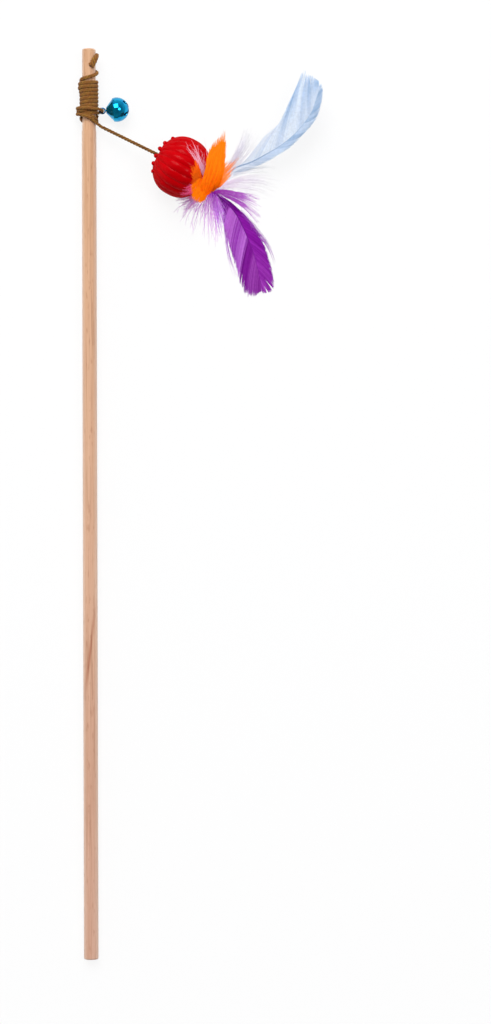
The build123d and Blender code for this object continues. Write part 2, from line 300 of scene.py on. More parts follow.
BEECH_BROAD = ((0.3, srgb(194, 146, 122)), (0.52, srgb(210, 165, 142)), (0.72, srgb(220, 180, 158)))
BEECH_FINE = ((0.34, srgb(168, 118, 92)), (0.47, srgb(212, 166, 142)), (0.68, srgb(224, 184, 162)))
BEECH_FLECKS = ((0.0, (1, 1, 1)), (0.6, (1, 1, 1)), (0.72, srgb(205, 178, 160)))
BEECH_TIP = srgb(253, 249, 224)
# Paler colour painted on the rod's sides as rim light
BEECH_RIM_LIGHT = srgb(240, 212, 192)
BEECH_STREAK = srgb(196, 142, 112)
TIP_RISE = 2.4
TIP_START = -0.1
# Where the painted rim light starts and where it is full, off the rod's axis, in metres
RIM_LIGHT_FROM = 0.0021
RIM_LIGHT_TO = 0.004
STREAK_SLANT = -0.132
STREAK_SHIFT = 0.02235
STREAK_WANDER = 0.0035
STREAK_HALF_WIDTH = 0.0013
STREAK_MIDDLE = 0.169
STREAK_HALF_LENGTH = 0.024
STREAK_DEPTH_SHARE = 0.75


def beech_tip_and_rim_light(tree, body, x, y):
    """The tip half is a little yellower, and painted rim light makes the sides paler."""
    high = math_node(tree, "MULTIPLY_ADD", y, TIP_RISE, TIP_START, clamp=True)
    body = blend_colour(tree, "MULTIPLY", high, body, colour4(BEECH_TIP))
    # Painted rim light: the rod's sides, away from its axis, are mixed toward a paler colour
    off_axis = math_node(tree, "ABSOLUTE", x)
    rim_light = add(tree, "ShaderNodeMapRange", Value=off_axis, From_Min=RIM_LIGHT_FROM, From_Max=RIM_LIGHT_TO)
    pale = blend_colour(tree, "MIX", rim_light.outputs["Result"], body, colour4(BEECH_RIM_LIGHT))
    return blend_colour(tree, "MIX", 0.6, body, pale)


def beech_streak(tree, body, wander, x, y, z):
    """One darker streak crosses the upper side at a slant."""
    slant = math_node(tree, "MULTIPLY_ADD", y, STREAK_SLANT, x)
    bend = math_node(tree, "MULTIPLY", math_node(tree, "SUBTRACT", wander, 0.5), STREAK_WANDER)
    off = math_node(tree, "ADD", math_node(tree, "ADD", slant, STREAK_SHIFT), bend)
    off = math_node(tree, "DIVIDE", math_node(tree, "ABSOLUTE", off), STREAK_HALF_WIDTH)
    line = math_node(tree, "SUBTRACT", 1.0, off, clamp=True)
    far = math_node(tree, "ABSOLUTE", math_node(tree, "SUBTRACT", y, STREAK_MIDDLE))
    ends = math_node(tree, "SUBTRACT", 1.25, math_node(tree, "DIVIDE", far, STREAK_HALF_LENGTH), clamp=True)
    above = math_node(tree, "GREATER_THAN", z, 0.0)
    streak = math_node(tree, "MULTIPLY", math_node(tree, "MULTIPLY", line, ends), above)
    streak = math_node(tree, "MULTIPLY", streak, STREAK_DEPTH_SHARE)
    return blend_colour(tree, "MULTIPLY", streak, body, colour4(BEECH_STREAK))


def wood():
    made, tree, shader = new_material("beech")
    fine = stretched_noise(tree, (1500, 22, 1500), 5, 0.62)
    broad = stretched_noise(tree, (330, 6, 330), 3, 0.5)
    fleck = stretched_noise(tree, (900, 170, 900), 2, 0.5)
    body = blend_colour(tree, "MIX", 0.5, ramp(tree, broad, *BEECH_BROAD), ramp(tree, fine, *BEECH_FINE))
    body = blend_colour(tree, "MULTIPLY", 0.4, body, ramp(tree, fleck, *BEECH_FLECKS))
    place = add(tree, "ShaderNodeSeparateXYZ", Vector=add(tree, "ShaderNodeTexCoord").outputs["Object"])
    x, y, z = (place.outputs[i] for i in range(3))
    body = beech_tip_and_rim_light(tree, body, x, y)
    body = beech_streak(tree, body, broad, x, y, z)
    set_shader(tree, shader, Base_Color=body, Roughness=0.55, Specular_IOR_Level=0.35)
    bump(tree, shader, fine, strength=0.25, distance=0.0002)
    return made


# Other materials


def tinted(name, roughness, grain, streak, sheen=0.0, shine=0.25):
    """A material that takes its colour from the strands and varies it finely."""
    made, tree, shader = new_material(name)
    tint = add(tree, "ShaderNodeAttribute", {"attribute_name": "tint"}).outputs["Color"]
    noise = even_noise(tree, grain, 3, 0.6)
    vary = ramp(tree, noise, (0.3, (1 - streak,) * 3), (0.7, (1.0,) * 3))
    body = blend_colour(tree, "MULTIPLY", 1.0, tint, vary)
    set_shader(tree, shader, Base_Color=body, Roughness=roughness, Specular_IOR_Level=shine)
    set_shader(tree, shader, Sheen_Weight=sheen, Sheen_Roughness=0.45)
    return made, tree, shader, noise


def cord_material():
    made, tree, shader, noise = tinted("cord", roughness=0.85, grain=900, streak=0.45, sheen=0.15)
    bump(tree, shader, noise, strength=0.5, distance=0.0003)
    return made


def feather_material(name, roughness=0.55, streak=0.15, shine=0.05):
    return tinted(name, roughness, grain=700, streak=streak, shine=shine)[0]


def ball_material():
    made, tree, shader = new_material("ball_red")
    cloud = even_noise(tree, 140, 3, 0.55)
    body = ramp(tree, cloud, (0.3, srgb(180, 0, 6)), (0.7, srgb(196, 0, 9)))
    worn = even_noise(tree, 1400, 4, 0.6)
    worn_roughness(tree, shader, worn, 0.26, 0.34)
    set_shader(tree, shader, Base_Color=body, Specular_IOR_Level=0.0, Coat_Weight=0.1, Coat_Roughness=0.2)
    bump(tree, shader, worn, strength=0.06, distance=0.0002)
    return made


def bell_material(name, low, high):
    made, tree, shader = new_material(name)
    cloud = even_noise(tree, 260, 4, 0.6)
    body = ramp(tree, cloud, (0.35, low), (0.65, high))
    worn = even_noise(tree, 2600, 3, 0.6)
    worn_roughness(tree, shader, worn, 0.07, 0.2)
    set_shader(tree, shader, Base_Color=body, Metallic=0.85)
    bump(tree, shader, worn, strength=0.04, distance=0.0001)
    return made


def steel_material():
    made, tree, shader = new_material("pellet_steel")
    worn = even_noise(tree, 1800, 4, 0.6)
    body = ramp(tree, worn, (0.3, srgb(150, 152, 156)), (0.7, srgb(196, 198, 202)))
    set_shader(tree, shader, Base_Color=body, Metallic=1.0, Roughness=0.3)
    bump(tree, shader, worn, strength=0.08, distance=0.0001)
    return made


def dress(material, *nodes):
    for node in nodes:
        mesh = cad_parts[node].data
        mesh.materials.clear()
        mesh.materials.append(material)


wood_look = wood()
cord_look = cord_material()
thread_look = tinted("thread", roughness=0.7, grain=1200, streak=0.4, sheen=0.2)[0]
ball_look = ball_material()
bell_look = bell_material("bell_blue", srgb(0, 136, 198), srgb(10, 176, 220))
eye_look = bell_material("bell_eye_blue", srgb(0, 74, 122), srgb(0, 104, 156))
feather_looks = {
    "feather_blue": feather_material("feather_blue"),
    "feather_purple": feather_material("feather_purple", roughness=0.5),
    "feather_orange": feather_material("feather_orange", roughness=0.6, streak=0.18),
    "feather_lilac": feather_material("feather_lilac"),
    "feather_pale": feather_material("feather_pale"),
}
quill_look = feather_material("quill", roughness=0.45, streak=0.2, shine=0.1)

dress(wood_look, "rod")
dress(ball_look, "ball_cord_half", "ball_feather_half")
dress(bell_look, "bell_crown", "bell_mouth")
dress(eye_look, "bell_eye")
dress(steel_material(), "bell_pellet")

# Cord

# Cord colours: the dark one is the loose fibres' darker tone and also the painted shade on the plies' inner
# sides
CORD_LIGHT = srgb(170, 121, 48)
CORD_DARK_AND_CREVICE_SHADE = srgb(108, 68, 23)
CORD_RED = srgb(158, 97, 44)
PLIES = 3
PLY_SIDES = 10
CORD_STEP = 0.22
FIBRE_PLACES = 5
FIBRE_RADII = (0.035, 0.012)
FIBRE_FLOOR_GAP = 0.03
# Angles round the rod count as arcs of this radius when places are spread along a cord
ARC_RADIUS = 5.0

# Sizes of a cord: a ply's radius, how far plies lie across and out from the line, the length of a twist, and
# how far the painted shade on the plies' inner sides deepens
WOUND = dict(ply=0.54, across=0.54, out=0.24, lay=5.2)
UPPER = dict(ply=0.5, across=0.46, out=0.34, lay=5.0)
TUCKED = dict(ply=0.52, across=0.5, out=0.28, lay=5.0)
TAUT = dict(ply=0.46, across=0.52, out=0.52, lay=5.6, crevice_shade=0.45)
INSIDE = dict(ply=0.36, across=0.34, out=0.34, lay=5.0)
KNOTTED = dict(ply=0.3, across=0.26, out=0.26, lay=4.0)


def rope(name, line, outward, ply, across, out, lay, swell=1.0, phase=0.0, crevice_shade=1.0):
    """A twisted cord of three plies along a line of places, with painted shade on the plies' inner sides; the
    last argument, under 1, deepens that shade.
    """
    ahead = unit(np.gradient(line, axis=0))
    outward = unit(outward - ahead * np.sum(outward * ahead, axis=1, keepdims=True))
    side = np.cross(ahead, outward)
    along = lengths_along(line)
    swell = np.broadcast_to(swell, len(line))
    turn = 2 * np.pi * np.arange(PLY_SIDES) / PLY_SIDES
    around = side[:, None] * np.cos(turn)[:, None] + outward[:, None] * np.sin(turn)[:, None]
    rings, tints = [], []
    for number in range(PLIES):
        angle = phase + 2 * np.pi * (number / PLIES + along / lay)
        centre = line + side * (across * swell * np.cos(angle))[:, None]
        centre = centre + outward * (out * swell * np.sin(angle))[:, None]
        rings.append(centre[:, None] + around * (ply * swell)[:, None, None])
        # Painted shade: each ply darkens toward its inner side, where it meets the other plies
        shown = np.cos(turn[None] - angle[:, None]) * 0.5 + 0.5
        wave = 0.5 + 0.5 * np.sin(along * 0.21 + number * 1.7 + phase)[:, None]
        lit = mix(CORD_LIGHT, CORD_RED, wave * 0.8)
        tint = mix(CORD_DARK_AND_CREVICE_SHADE, lit, np.clip(0.12 + 0.95 * shown**0.7, 0, 1))
        tints.append(tint * (crevice_shade + (1 - crevice_shade) * shown)[..., None])
    return solid_rings(name, np.stack(rings)[:, :, ::-1], np.stack(tints)[:, :, ::-1], cord_look)


def on_rod(stations, length):
    """Places and outward directions of a cord laid round the rod: stations are angle, along, radius."""
    dense = spline(np.asarray(stations) * (math.radians(ARC_RADIUS), 1, 1), 4000, 40)
    angle, along, radius = dense[:, 0] / ARC_RADIUS, dense[:, 1], dense[:, 2]
    line = np.stack((radius * np.sin(angle), along, radius * np.cos(angle)), axis=1)
    line = evenly(line, int(length / CORD_STEP))
    return line, line * (1, 0, 1)


def over_winding(stations):
    """Stations of a cord over the winding, from angle, turns below its top and height above its first layer."""
    return [(angle, WINDING_TOP - PITCH * turns, LAY_RADIUS + high) for angle, turns, high in stations]


def fibres(name, line, outward, body, count, reach, radius):
    """Short loose hairs that stand off a cord."""
    pick = rng.integers(2, len(line) - 2, count)
    ahead = unit(np.gradient(line, axis=0))[pick]
    out = unit(outward[pick])
    side = np.cross(ahead, out)
    angle = rng.uniform(-1.3, 1.3, count)[:, None]
    away = unit(out * np.cos(angle) + side * np.sin(angle))
    run = away * rng.uniform(0.25, 0.9, (count, 1)) + ahead * rng.choice((-1, 1), (count, 1))
    run = unit(run + side * rng.normal(0, 0.4, (count, 1)))
    size = rng.uniform(0.4, 1.0, (count, 1, 1)) * reach
    share = np.linspace(0, 1, FIBRE_PLACES)[None, :, None]
    start = line[pick] + away * radius * 0.8
    curl = rng.normal(0, 0.25, (count, 1, 3))
    centres = start[:, None] + run[:, None] * size * share + curl * size * share**2
    tint = mix(CORD_DARK_AND_CREVICE_SHADE, CORD_LIGHT, rng.uniform(0.3, 1.0, (count, FIBRE_PLACES)))
    taper = np.linspace(*FIBRE_RADII, FIBRE_PLACES)
    piece = tubes(name, off_floor(centres, FIBRE_FLOOR_GAP), taper, taper, NEARLY_UP, tint, cord_look, 3)
    place_piece(piece, body, "cord")


def lay_cord(name, body, line, outward, *nodes, hairs=(), **sizes):
    """A twisted cord on a body, and loose fibres if hairs gives their count, reach and radius."""
    piece = rope(name + "_twist", line, outward, **sizes)
    place_piece(piece, body, "cord", *nodes)
    if hairs:
        fibres(name + "_fibres", line, outward, body, *hairs)
    return piece


# Winding: its cut end is laid back over the rod (angle, share of the tail's length), then it turns downward
TAIL = (
    (17, 0.54), (70, 1), (122, 0.94), (165, 0.74), (162, 0.54), (122, 0.38), (86, 0.31), (42, 0.19), (0, 0.1),
)
TAIL_LENGTH = 13.3
TAIL_LIFT = 0.1
QUARTER_TURNS = 38
WINDING_LENGTH = 305
# The upper turns stand off the rod on its left side: millimetres by quarter turn
BULGE = {3: 0.2, 4: 0.75, 5: 0.3, 7: 0.25, 8: 0.85, 9: 0.2, 12: 0.3}
# The cut end is frayed for its first millimetres, with a slimmer neck after it
FRAY_SHARE = 0.75
FRAY_RUN = 7.0
NECK_SHARE = 0.06
NECK_PLACE = 20.0
NECK_RUN = 14.0

winding = [(a, WINDING_TOP + TAIL_LENGTH * b, LAY_RADIUS + TAIL_LIFT) for a, b in TAIL]
winding += over_winding([(-90 - 90 * q, q / 4, BULGE.get(q, 0.0)) for q in range(QUARTER_TURNS + 1)])
line, outward = on_rod(winding, WINDING_LENGTH)
along = np.linspace(0, WINDING_LENGTH, len(line))
swell = 1 + FRAY_SHARE * np.clip(1.6 - along / FRAY_RUN, 0, 1)
swell = swell - NECK_SHARE * np.clip(1 - np.abs(along - NECK_PLACE) / NECK_RUN, 0, 1)
lay_cord("cord_winding", "wand", line, outward, "cord_winding", **WOUND, swell=swell, hairs=(420, 1.5, 0.75))

# Upper turns: angle, turns below the winding's top, share of the way from its layer to theirs
HITCH = (
    (-200, 7.3, 1), (-145, 7.36, 1), (-90, 7.42, 1), (-45, 7.5, 1), (0, 7.6, 1), (90, 7.99, 1.487),
    (180, 8.42, 1), (225, 8.62, 1), (270, 8.88, 1), (315, 9.25, 0.95), (360, 9.9, 0.5),
    (395, 10.8, 0.2), (420, 11.65, 0.16),
)
HITCH_ON_ROD = 72
HITCH_LENGTH = 75
HITCH_OVERLAP = 0.5
HITCH_STRAIGHT = 0.9
UPPER_RISE = UPPER_RADIUS - LAY_RADIUS

hitch = over_winding([(angle, turns, UPPER_RISE * share) for angle, turns, share in HITCH])
line, outward = on_rod(hitch, HITCH_ON_ROD)
last = EXIT_PLACE + LINE_RUN * HITCH_OVERLAP
line = spline(np.vstack((line[:-8:4], last - LINE_RUN * HITCH_STRAIGHT, last)), int(HITCH_LENGTH / CORD_STEP))
outward = line * (1, 0, 1)
lay_cord("cord_hitch", "wand", line, outward, "cord_hitch", **UPPER, phase=1.0, hairs=(120, 1.4, 0.8))

# The cord's last half turn behind the rod, tucked under the strand that leaves for the ball
TUCK = (
    (285, 9.9, -0.2), (255, 10.2, 0), (205, 10.8, 0), (150, 11.1, 0), (100, 10.8, 0),
    (62, 10.2, 0), (25, 9.65, 0), (-15, 9.4, 0), (-55, 9.3, 0), (-95, 9.2, -0.2),
)
TUCK_LENGTH = 34
line, outward = on_rod(over_winding(TUCK), TUCK_LENGTH)
lay_cord("cord_tuck", "wand", line, outward, **TUCKED, phase=2.0, hairs=(50, 1.4, 0.75))

# A bight that fills the gap between the two upper turns on the left
BIGHT = ((-10, 8.0, 0.2), (-45, 8.1, 0.9), (-90, 8.15, 1.6), (-135, 8.2, 1.1), (-175, 8.25, 0.2))
BIGHT_LENGTH = 16
line, outward = on_rod(over_winding(BIGHT), BIGHT_LENGTH)
lay_cord("cord_bight", "wand", line, outward, **UPPER, phase=0.5)


def nurbs_line(points, count):
    """Places along a smooth NURBS spline that has the route's points as its control points."""
    curve = bpy.data.curves.new("route", "CURVE")
    curve.dimensions = "3D"
    curve.resolution_u = 32
    route = curve.splines.new("NURBS")
    route.points.add(len(points) - 1)
    for point, place in zip(route.points, points):
        point.co = (*[float(v) for v in place], 1.0)
    route.order_u = 3
    route.use_endpoint_u = True
    holder = bpy.data.objects.new("route", curve)
    bpy.context.scene.collection.objects.link(holder)
    bpy.context.view_layer.update()
    mesh = bpy.data.meshes.new_from_object(holder)
    places = np.array([v.co for v in mesh.vertices], float)
    bpy.data.meshes.remove(mesh)
    bpy.data.objects.remove(holder)
    bpy.data.curves.remove(curve)
    return evenly(places, count)


# Free line to the ball, which hangs by a little between its ends
LINE_LENGTH = 38.3
LINE_OVERLAP = 0.7
LINE_SAG = 0.12
span = LINE_END - LINE_START
route = [
    LINE_START - LINE_RUN * LINE_OVERLAP,
    LINE_START + span * 0.33 - UP * LINE_SAG,
    LINE_START + span * 0.67 - UP * LINE_SAG,
    LINE_END + LINE_RUN * LINE_OVERLAP,
]
line = nurbs_line(route, int(LINE_LENGTH / CORD_STEP))
outward = np.tile(UP, (len(line), 1))
piece = lay_cord("cord_line", "line", line, outward, "cord_line", **TAUT, hairs=(60, 1.2, 0.75))

# Cord through the ball
CORE_HALF = 11.4
CORE_PAST = 1.9
CORE_PLACES = 110
core = BALL + np.linspace(-CORE_HALF, CORE_HALF + CORE_PAST, CORE_PLACES)[:, None] * BALL_AXIS
lay_cord("cord_core", "ball", core, np.tile(UP, (len(core), 1)), "cord_core", **INSIDE)

# Knot behind the ball: three crossing loops of the same cord
KNOT_ALONG = 13.26
KNOT_PLACES = 160
KNOT_SCALE = (0.4, 0.4, 0.75)
knot_place = BALL + BALL_AXIS * KNOT_ALONG
turn = np.linspace(0, 2 * np.pi, KNOT_PLACES)
knot = (np.sin(turn) + 2 * np.sin(2 * turn), np.cos(turn) - 2 * np.cos(2 * turn), -np.sin(3 * turn))
knot_side = unit(np.cross(BALL_AXIS, UP))
knot_basis = np.stack((knot_side, np.cross(BALL_AXIS, knot_side), BALL_AXIS))
knot = knot_place + (np.stack(knot, axis=1) * KNOT_SCALE) @ knot_basis
lay_cord("cord_knot", "ball", knot, knot - knot_place, "cord_knot", **KNOTTED)

# Thread binding over the quills
BINDING_RUN = unit(np.array((0.5104, -0.6533, -0.5592)))
BINDING_LENGTH = 5.2
BINDING_RADIUS = 1.55
BINDING_WAVE = 0.12
THREAD_RADIUS = 0.24
THREAD_TURNS = 11
PLACES_BY_TURN = 26
THREAD_DARK = srgb(92, 20, 40)
THREAD_LIGHT = srgb(140, 36, 60)
angle = np.linspace(0, 2 * np.pi * THREAD_TURNS, THREAD_TURNS * PLACES_BY_TURN)
bind_side = unit(np.cross(BINDING_RUN, UP))
bind_up = np.cross(bind_side, BINDING_RUN)
rounded = np.sqrt(np.clip(1 - np.linspace(-1, 1, len(angle)) ** 6 * 0.6, 0, 1))
reach = (BINDING_RADIUS + BINDING_WAVE * np.sin(angle * 0.37)) * rounded
thread = ROOT - BINDING_RUN * BINDING_LENGTH * np.linspace(1.1, -0.1, len(angle))[:, None]
thread = thread + (bind_side * np.cos(angle)[:, None] + bind_up * np.sin(angle)[:, None]) * reach[:, None]
tone = mix(THREAD_DARK, THREAD_LIGHT, 0.5 + 0.5 * np.sin(angle * 1.9))
piece = tubes(
    "quill_binding_thread", thread[None], THREAD_RADIUS, THREAD_RADIUS, BINDING_RUN, tone[None], thread_look, 6,
)
place_piece(piece, "ball", "thread", "quill_binding")

# Feathers

SHAFT_PLACES = 60
SHAFT_DEPTH_SHARE = 0.85
BARB_PLACES = 12
BARB_JITTER = 0.3
BARB_BEND_SHARE = 0.45
BARB_WIDTHS = (0.09, 0.42)
BARB_THICKNESS = 0.05
BARB_THICK_SHARE = 0.25
BARB_TAPER = ((0, 0.7, 1), (1, 0.9, 0.2))
BARB_STAGGER = 0.03
BARB_LIFT = 0.12
CLUMP_LIFT = 0.28
CLUMP_SIZES = (7, 17)


def feather(name, body, slot, rachis, heights, vanes, quill_size, quill_tint):
    """A shaft with two vanes of separate barbs. Each vane has its edge, barbs and colours."""
    steps = spline(np.column_stack((rachis, heights)), 400)
    share = np.linspace(0, 1, SHAFT_PLACES)
    taper = np.interp(share, (0, 0.35, 1), quill_size)
    shaft = evenly(seen(steps), SHAFT_PLACES)[None]
    tone = mix(*(srgb(*c) for c in quill_tint), share)[None]
    stem = tubes(name + "_shaft", shaft, taper, taper * SHAFT_DEPTH_SHARE, UP, tone, quill_look, 8)
    place_piece(stem, body, slot)
    for number, vane in enumerate(vanes):
        centres, wide, tone, facing = barbs(steps, **vane)
        thick = np.minimum(wide * BARB_THICK_SHARE, BARB_THICKNESS)
        look = feather_looks[slot]
        piece = tubes(f"{name}_vane_{number + 1}", centres, wide, thick, facing, tone, look, smooth=False)
        place_piece(piece, body, slot, *((name,) if number == 0 else ()))


def clumps_of(count):
    """Neighbouring barbs cling together: the number of each barb's clump."""
    bounds = [0]
    while bounds[-1] < count:
        bounds.append(bounds[-1] + int(rng.integers(*CLUMP_SIZES)))
    return np.searchsorted(bounds, np.arange(count), side="right") - 1


def barbs(steps, edge, reach, count, start, bow, droop, colours, pinch, width, splits=()):
    """Barbs from the shaft's steps to a vane's edge: their centres, half widths, colours and facing."""
    t = start + (1 - start) * (np.arange(count) + rng.uniform(-BARB_JITTER, BARB_JITTER, count)) / count
    t = np.clip(t, 0, 1)
    on_shaft, on_edge = np.transpose(reach)
    u = np.interp(t, on_shaft, on_edge)
    clump = clumps_of(count)
    clumps = clump.max() + 1
    middle = np.array([u[clump == c].mean() for c in range(clumps)])
    pull = rng.uniform(*pinch, clumps)
    for at, strength in splits:
        nearest = np.argmin(np.abs(np.interp(at, on_shaft, on_edge) - middle))
        pull[max(nearest - 1, 0) : nearest + 2] = strength
    u_end = u + (middle[clump] - u) * pull[clump]

    # Plan of each barb: a bow from the shaft to the edge
    foot = at_share(steps, t)[:, :2]
    end = at_share(spline(edge, 600), np.clip(u_end, 0, 1))
    long = rng.normal(1.0, 0.02, count) + rng.normal(0, 0.014, clumps)[clump]
    span = (end - foot) * long[:, None]
    ahead = unit(at_share(np.gradient(steps, axis=0), t)[:, :2])
    out = unit(span - ahead * np.sum(span * ahead, axis=1, keepdims=True))
    bend = foot + span * BARB_BEND_SHARE + out * (bow * np.linalg.norm(span, axis=1))[:, None]
    s = np.linspace(0, 1, BARB_PLACES)[None, :, None]
    flat = foot[:, None] * (1 - s) ** 2 + 2 * bend[:, None] * s * (1 - s) + (foot + span)[:, None] * s**2

    # Heights: barbs follow the shaft, droop toward the edge and lie a little over each other
    share = s[..., 0]
    lift = rng.normal(0, BARB_LIFT, count)[:, None] + rng.normal(0, CLUMP_LIFT, clumps)[clump][:, None]
    reach_out = np.linalg.norm(flat - foot[:, None], axis=2)
    ahead_share = np.clip(t[:, None] + share * 0.25, 0, 1)
    height = np.interp(ahead_share, np.linspace(0, 1, len(steps)), steps[:, 2])
    height = height - droop * reach_out * share + lift * share + (np.arange(count) % 3)[:, None] * BARB_STAGGER
    centres = off_floor(seen(np.concatenate((flat, height[..., None]), axis=2)))

    # Widths close the gap to the next barb
    run = unit(np.gradient(centres, axis=1))
    step = np.diff(centres, axis=0)
    step = np.vstack((step, step[-1:]))
    across = np.linalg.norm(step - run * np.sum(step * run, axis=2, keepdims=True), axis=2)
    wide = np.clip(across * 0.8, *BARB_WIDTHS) * np.interp(share, *BARB_TAPER)
    wide = wide * np.interp(t, *np.transpose(width))[:, None]

    low, high, tip = colours
    shade = np.clip(rng.normal(0.5, 0.22, count) + rng.normal(0, 0.3, clumps)[clump], 0, 1)
    tone = mix(low(t, share), high(t, share), shade[:, None])
    tone = mix(tone, srgb(*tip), np.clip((share - 0.8) * 2.0, 0, 0.35))
    facing = UP + 0.08 * np.concatenate((ahead, np.zeros((count, 1))), axis=1)
    return centres, wide, tone, facing[:, None]


def along_shaft(*stops, foot=None):
    """Colour by place along the shaft: stops are (share, colour). Barbs start in the foot's colour, if any."""
    places = [s for s, _ in stops]
    tones = np.array([srgb(*c) for _, c in stops])

    def tone(t, share):
        line = columns_at(t, places, tones)
        line = np.broadcast_to(line[:, None], (len(t), share.shape[1], 3))
        if foot is None:
            return line
        return mix(srgb(*foot), line, np.clip(share * 2 - 0.3, 0, 1))

    return tone


# Blue feather: plan places under the camera, and heights of the shaft
BLUE_RACHIS = (
    (68, 422.4), (74, 429), (80.1, 434.4), (89.1, 437.7), (97.5, 442.1), (106, 447.2),
    (114.4, 454.5), (121.7, 464), (124.5, 471.2), (126.9, 479.4),
)
BLUE_HEIGHTS = (3.0, 2.4, 3.1, 4.6, 6.2, 8.0, 10.0, 11.6, 12.3, 12.8)
BLUE_LEFT = (
    (87.3, 438.3), (90.3, 440.9), (94.8, 450), (103.2, 457.8), (108.8, 464.6), (112.8, 474.1),
    (116.2, 484.2), (118.4, 486.4), (122.3, 484.7), (126.4, 482.1),
)
BLUE_RIGHT = (
    (83.5, 431.7), (91.9, 435), (100.3, 439.3), (108.7, 444.4), (117.2, 452.2), (124, 460.1),
    (127.3, 468.4), (128.5, 476.8), (127.4, 481.4),
)
blue_left_low = along_shaft(
    (0.2, (210, 221, 242)), (0.44, (200, 216, 240)), (0.49, (150, 182, 218)), (0.6, (152, 184, 220)),
    (0.65, (200, 217, 240)), (0.71, (192, 211, 237)), (0.78, (164, 191, 224)), (1, (160, 189, 222)),
    foot=(198, 214, 238),
)
blue_left_high = along_shaft(
    (0.2, (236, 241, 251)), (0.44, (230, 238, 250)), (0.49, (190, 210, 236)), (0.6, (192, 211, 236)),
    (0.65, (230, 239, 250)), (0.71, (224, 234, 248)), (0.78, (208, 222, 243)), (1, (204, 219, 241)),
    foot=(228, 237, 249),
)
blue_left_vane = dict(
    edge=BLUE_LEFT, count=190, start=0.22, bow=0.06, droop=0.1, pinch=(0.0, 0.22),
    reach=(
        (0.2, 0), (0.3, 0.3), (0.4, 0.6), (0.46, 0.75), (0.58, 0.84), (0.72, 0.89), (0.84, 0.93), (1, 1),
    ),
    splits=((0.62, 0.4), (0.8, 0.4)), width=((0.2, 0.45), (0.4, 0.75), (0.5, 1), (1, 1)),
    colours=(blue_left_low, blue_left_high, (178, 202, 230)),
)
blue_right_vane = dict(
    edge=BLUE_RIGHT, count=150, start=0.16, bow=0.1, droop=0.08, pinch=(0.05, 0.25),
    reach=((0.12, 0), (0.9, 0.92), (1, 1)), width=((0.16, 0.25), (0.32, 0.45), (0.5, 0.9), (1, 1)),
    colours=(along_shaft((0.0, (146, 176, 212))), along_shaft((0.0, (196, 214, 238))), (158, 186, 220)),
)
feather(
    "blue_feather", "blue", "feather_blue", BLUE_RACHIS, BLUE_HEIGHTS,
    (blue_left_vane, blue_right_vane),
    quill_size=(0.5, 0.36, 0.12), quill_tint=((140, 164, 198), (186, 208, 234)),
)

# Purple feather
PURPLE_RACHIS = ((68.0, 421.4), (75.8, 415.1), (81.3, 408.2), (86.7, 396.8), (91.2, 384.5), (94.6, 369.4))
PURPLE_HEIGHTS = (2.8, 1.2, -0.9, -3.6, -5.1, -5.6)
PURPLE_LEFT = (
    (70.6, 417.4), (73.4, 410.6), (74.4, 400.5), (77.1, 391.4), (80.7, 380), (83.4, 369.6), (88, 364.5),
    (91.6, 364.9), (94.6, 366.6),
)
PURPLE_RIGHT = (
    (72.6, 419.2), (78.1, 415.5), (84.4, 409.7), (90.8, 402.3), (96.3, 391.4), (100.3, 378.6), (101.2, 370.9),
    (99.9, 366.8), (96.2, 365.4), (94.8, 366.3),
)
PURPLE_BARBS = dict(
    count=170, start=0.08, bow=0.06, droop=0.02, pinch=(0, 0.06), width=((0, 1.3), (1, 1.3)),
)
# Left vane: darker toward the tip; its darkest stops, at the split near 0.57, are painted shade in the fold
# between clumps
purple_left_low = along_shaft(
    (0.1, (126, 20, 154)), (0.52, (158, 56, 190)), (0.57, (100, 0, 122)),
    (0.66, (116, 8, 138)), (0.72, (132, 34, 152)), (1, (124, 26, 142)),
)
purple_left_high = along_shaft(
    (0.1, (186, 92, 212)), (0.52, (208, 126, 230)), (0.57, (140, 30, 164)),
    (0.66, (142, 28, 164)), (0.72, (166, 72, 186)), (1, (152, 56, 170)),
)
purple_left_vane = dict(
    edge=PURPLE_LEFT, splits=((0.58, 0.25),), **PURPLE_BARBS,
    reach=((0.08, 0), (0.3, 0.42), (0.55, 0.74), (0.6, 0.8), (0.8, 0.93), (1, 1)),
    colours=(purple_left_low, purple_left_high, (160, 64, 188)),
)
purple_right_low = along_shaft((0.1, (92, 0, 116)), (0.5, (128, 8, 152)), (0.9, (134, 24, 156)))
purple_right_high = along_shaft((0.1, (132, 10, 158)), (0.5, (158, 34, 184)), (0.9, (168, 66, 190)))
purple_right_vane = dict(
    edge=PURPLE_RIGHT, splits=((0.9, 0.35),), **PURPLE_BARBS,
    reach=((0.08, 0), (0.35, 0.4), (0.7, 0.76), (0.84, 0.88), (1, 1)),
    colours=(purple_right_low, purple_right_high, (154, 52, 182)),
)
feather(
    "purple_feather", "purple", "feather_purple", PURPLE_RACHIS, PURPLE_HEIGHTS,
    (purple_left_vane, purple_right_vane),
    quill_size=(0.6, 0.32, 0.1), quill_tint=((112, 0, 140), (140, 30, 166)),
)

# Down: fine strands with hairs along them

STRAND_PLACES = 12
STRAND_TAPER = ((0, 0.7, 1), (1, 0.7, 0.25))
FLAT_SHARE = 0.25
HAIR_PLACES = 5
HAIR_LENGTHS = ((0, 0.3, 1), (0.6, 1, 0.6))
HAIR_FLOOR_GAP = 0.05
HAIR_THICK_SHARE = 0.4
HAIR_CURL_SHARE = 0.35
DENSE = 60


